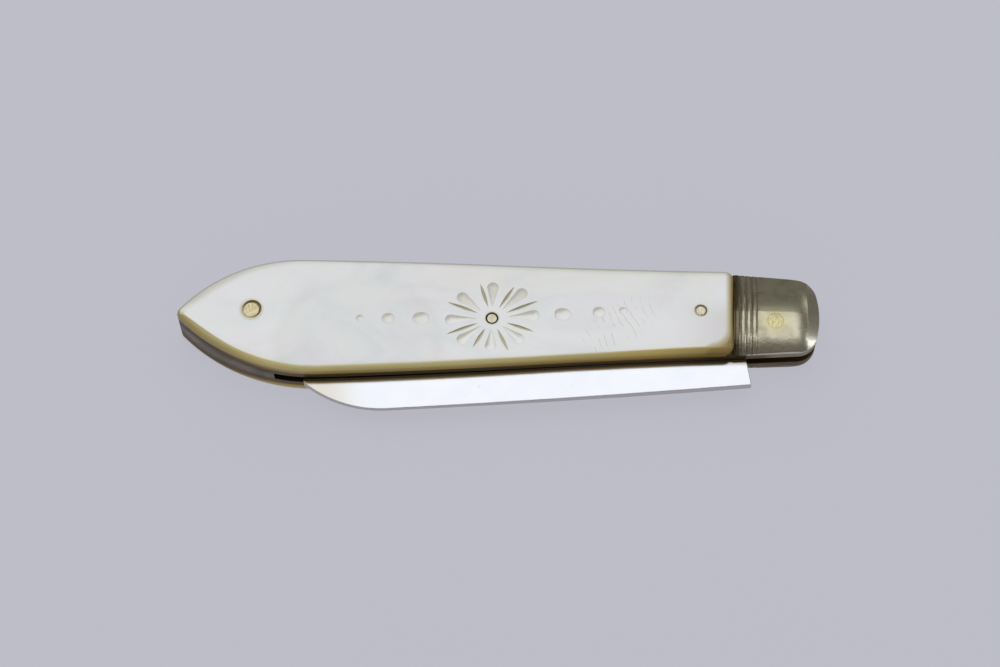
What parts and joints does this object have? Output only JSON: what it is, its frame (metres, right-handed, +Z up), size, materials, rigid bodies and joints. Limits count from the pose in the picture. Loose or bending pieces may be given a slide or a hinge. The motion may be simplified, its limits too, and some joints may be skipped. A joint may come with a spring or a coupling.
{
  "type": "folding pocket knife",
  "caption": "Closed folding pocket knife with a carved pearl scale, domed reeded bolsters and a blade that swings out half a turn on its pivot pin against a back spring.",
  "frame": {"origin": "on the outer face of the rear scale, on the handle's axis at mid-length, where the knife lies on a table", "axes": "+X along the handle towards the bolsters and the blade's pivot, +Y across it towards the back spring, +Z up out of the carved front scale"},
  "size_m": [0.082, 0.0198, 0.0069],
  "materials": {
    "pearl": "polished mother of pearl, yellowed at the edges",
    "nickel_silver": "worn polish, slightly tarnished",
    "silver": "bright worn polish",
    "spring_steel": "dull grey steel",
    "brass": "worn brass, dark in the recesses"
  },
  "bodies": {
    "handle": {"front_scale": "pearl", "rear_scale": "pearl", "front_liner": "brass", "rear_liner": "brass", "front_bolster": "nickel_silver", "rear_bolster": "nickel_silver", "back_spring": "spring_steel", "pivot_pin": "brass", "centre_pin": "brass", "butt_pin": "brass", "front_scale_rivet": "brass", "rear_scale_rivet": "brass"},
    "blade": {"blade": "silver"}
  },
  "joints": [
    {"name": "blade_pivot", "type": "hinge", "parent": "handle", "child": "blade", "pos_m": [0.03525, -0.00143, 0.00345], "axis": [0, 0, 1], "range_deg": [0, 180], "deforming": ["back_spring"]}
  ]
}
